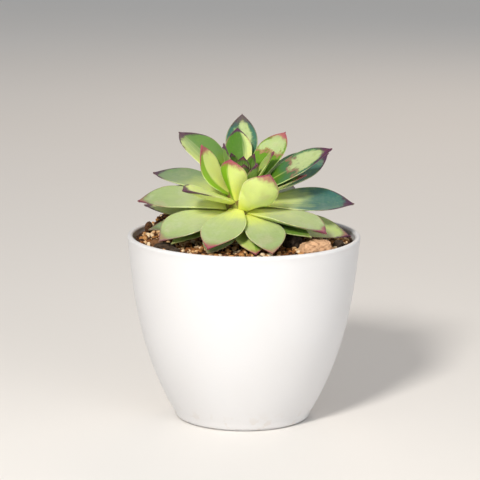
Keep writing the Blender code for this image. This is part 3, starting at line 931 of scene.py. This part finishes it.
stoneRows = [
    ("stone_large_tan", 33.5, -29.5, 86.6, 8.2, 5.4, 4.6, 30, "#D2A984", "#7E5638", "tan_stone"),
    ("stone_dark_front", 22.5, -21.0, 87.6, 3.8, 4.6, 4.8, 40, "#3A2E24", "#17110C", "dark_stone"),
    ("stone_dark_left", -37.0, -27.0, 85.8, 5.0, 3.6, 3.0, 25, "#4A3B2E", "#1C140E", "dark_stone"),
    ("pebble_left_1", -32.0, -34.5, 85.6, 3.6, 2.6, 2.2, 60, "#4E4034", "#221A12", "dark_stone"),
    ("pebble_left_2", -40.5, -19.5, 86.6, 3.2, 2.6, 2.4, 10, "#7A5435", "#3B2515", "brown_stone"),
    ("pebble_right_1", 31.0, -14.0, 87.1, 2.8, 2.6, 2.4, 0, "#6E4C30", "#38241A", "brown_stone"),
    ("pebble_right_2", 44.0, -17.0, 86.4, 3.0, 2.4, 2.2, 70, "#44362A", "#1E1610", "dark_stone"),
    ("pebble_back", -28.0, 36.0, 88.0, 4.0, 3.2, 3.0, 30, "#8A6240", "#4A301C", "brown_stone"),
    ("bark_chip", -45.5, 12.0, 88.4, 3.4, 1.5, 2.6, 75, "#5A3A22", "#241409", "brown_stone"),
]

stoneForm = {
    "lumps": 0.16,  # share of the size
    "lumpScale": 1.6,
    "ridges": 0.10,
    "ridgeScale": 1.9,
    "ridgeLevel": 0.13,  # taken off again, so that ridges don't swell the stone
    "square": 0.8,  # 1 for an egg, lower for a blockier stone
    "large": 6.0,  # half size past which a stone gets more faces
}


def stoneMaterial(name, light, dark):
    material, make, shader = newMaterial(name, {"Specular IOR Level": 0.3})
    place = make.objectPlace()
    broad = make.mottle(place, 240.0, 5.0, 0.65)
    pits = make.cells(place, 620.0)
    fine = make.mottle(place, 1600.0, 3.0)
    tone = make.smooth(0.30, 0.62, broad * 0.7 + pits * 0.25 + fine * 0.15)
    make.give(shader.inputs["Base Color"], make.mixed(tone, colour(dark), colour(light)))
    make.give(shader.inputs["Roughness"], 0.75 + fine * 0.2)
    bumped(make, shader, broad + pits * 0.4 + fine * 0.3, 0.8, 1.0)
    return material


def roughness(way, shift):
    # How far a stone's surface stands out in a direction, where 1 is smooth
    ridged = way * stoneForm["ridgeScale"] + shift
    ridges = noise.ridged_multi_fractal(ridged, 1.0, 2.0, 4, 1.0, 2.0)
    rough = 1 + stoneForm["lumps"] * noise.noise(way * stoneForm["lumpScale"] + shift)
    return rough + (stoneForm["ridges"] * ridges - stoneForm["ridgeLevel"])


def makeStones():
    for seed, (node, *numbers, turn, light, dark, slot) in enumerate(stoneRows):
        place, sizes = Vector(numbers[:3]), numbers[3:]
        form = bmesh.new()
        finer = sizes[0] > stoneForm["large"]
        bmesh.ops.create_icosphere(form, subdivisions=6 if finer else 5, radius=1.0)
        spin = Matrix.Rotation(math.radians(turn), 3, "Z")
        shift = Vector((seed * 7.3, 0, 0))
        for vert in form.verts:
            way = vert.co.copy()
            rough = roughness(way, shift)
            power = stoneForm["square"]
            square = Vector([math.copysign(abs(value) ** power, value) for value in way])
            scaled = Vector([value * rough * size for value, size in zip(square, sizes)])
            vert.co = (spin @ scaled + place) * mm
        bmesh.ops.recalc_face_normals(form, faces=form.faces)
        name = node + "_rough"
        addPiece(name, meshOf(name, form), stoneMaterial(name, light, dark), (node,))
    print(len(stoneRows), "stones made")


# Studio

studio = {
    "cameraDistance": 1200.0,
    "elevation": 13.16,
    "focal": 189.15,
    "sensor": 36.0,
    "pixels": 480,  # width and height of the picture that aimPixel is counted in
    "aimHeight": 44.0,
    "aimPixel": (244.0, 324.55),  # where the aimed point falls in the picture
    "roll": 0.47,
    "floorRadius": 7000.0,
    "floor": "#E6E4E2",
    "floorShade": "#DCD7D0",
    "sky": "#EEF0F2",
    "skyStrength": 0.46,
}

# Place and aim in metres, size in metres, watts, tint
lights = {
    "key": ((-0.42, -1.10, 0.92), (0, 0, 0.08), 0.26, 21.0, "#FFFAF2"),
    "fill": ((0.9, -1.2, 0.25), (0, 0, 0.08), 1.0, 8.0, "#FFFFFF"),
    "back": ((0.3, 1.1, 0.9), (0, 0, 0.10), 0.8, 3.0, "#FFE6CC"),
}


def makeFloor():
    material, make, shader = newMaterial("pale floor", {"Specular IOR Level": 0.2})
    cloud = make.mottle(make.objectPlace(), 3.0, 3.0)
    make.give(shader.inputs["Base Color"], make.mixed(
        cloud * 0.3, colour(studio["floor"]), colour(studio["floorShade"])))
    make.give(shader.inputs["Roughness"], 0.6 + cloud * 0.1)
    form = bmesh.new()
    radius = studio["floorRadius"] * mm
    bmesh.ops.create_circle(form, cap_ends=True, segments=96, radius=radius)
    mesh = meshOf("floor", form)
    mesh.materials.append(material)
    addObject("floor", mesh)


def makeLights():
    for name, (place, aim, size, power, tint) in lights.items():
        data = bpy.data.lights.new(name, "AREA")
        data.shape = "DISK"
        data.size = size
        data.energy = power
        data.color = colour(tint)[:3]
        light = addObject(name, data)
        light.location = place
        look = Vector(aim) - Vector(place)
        light.rotation_euler = look.to_track_quat("-Z", "Y").to_euler()
    world = bpy.data.worlds.new("studio")
    world.use_nodes = True
    sky = world.node_tree.nodes["Background"]
    sky.inputs["Color"].default_value = colour(studio["sky"])
    sky.inputs["Strength"].default_value = studio["skyStrength"]
    bpy.context.scene.world = world
    bpy.context.scene.view_settings.view_transform = "Standard"


def makeCamera():
    data = bpy.data.cameras.new("camera")
    data.lens = studio["focal"]
    data.sensor_width = studio["sensor"]
    data.clip_end = 50
    camera = addObject("camera", data)
    rise = math.radians(studio["elevation"])
    aim = Vector((0, 0, studio["aimHeight"])) * mm
    back = Vector((0, -math.cos(rise), math.sin(rise)))
    camera.location = aim + back * studio["cameraDistance"] * mm
    # Turned off the aim, so that the aimed point falls on its pixel
    pixels = studio["focal"] / studio["sensor"] * studio["pixels"]
    right, under = (value - studio["pixels"] / 2 for value in studio["aimPixel"])
    down = rise - math.atan(under / pixels)
    yaw = math.atan(right / pixels)
    look = (Matrix.Rotation(yaw, 4, "Z") @ Matrix.Rotation(math.pi / 2 - down, 4, "X")
            @ Matrix.Rotation(math.radians(studio["roll"]), 4, "Z"))
    camera.rotation_euler = look.to_euler()
    bpy.context.scene.camera = camera


makeCamera()
makeLights()
makeFloor()
makePot(potGlaze())
skins = {kind: leafSkin(kind) for kind in leafSkins}
makeLeaves({ring: skins[kind] for ring, kind in skinOfRing.items()})
makeStem(stemSkin())
bed = makeSoilBed(bedMaterial())
makeGrit(bed, gritMaterial())
makeStones()
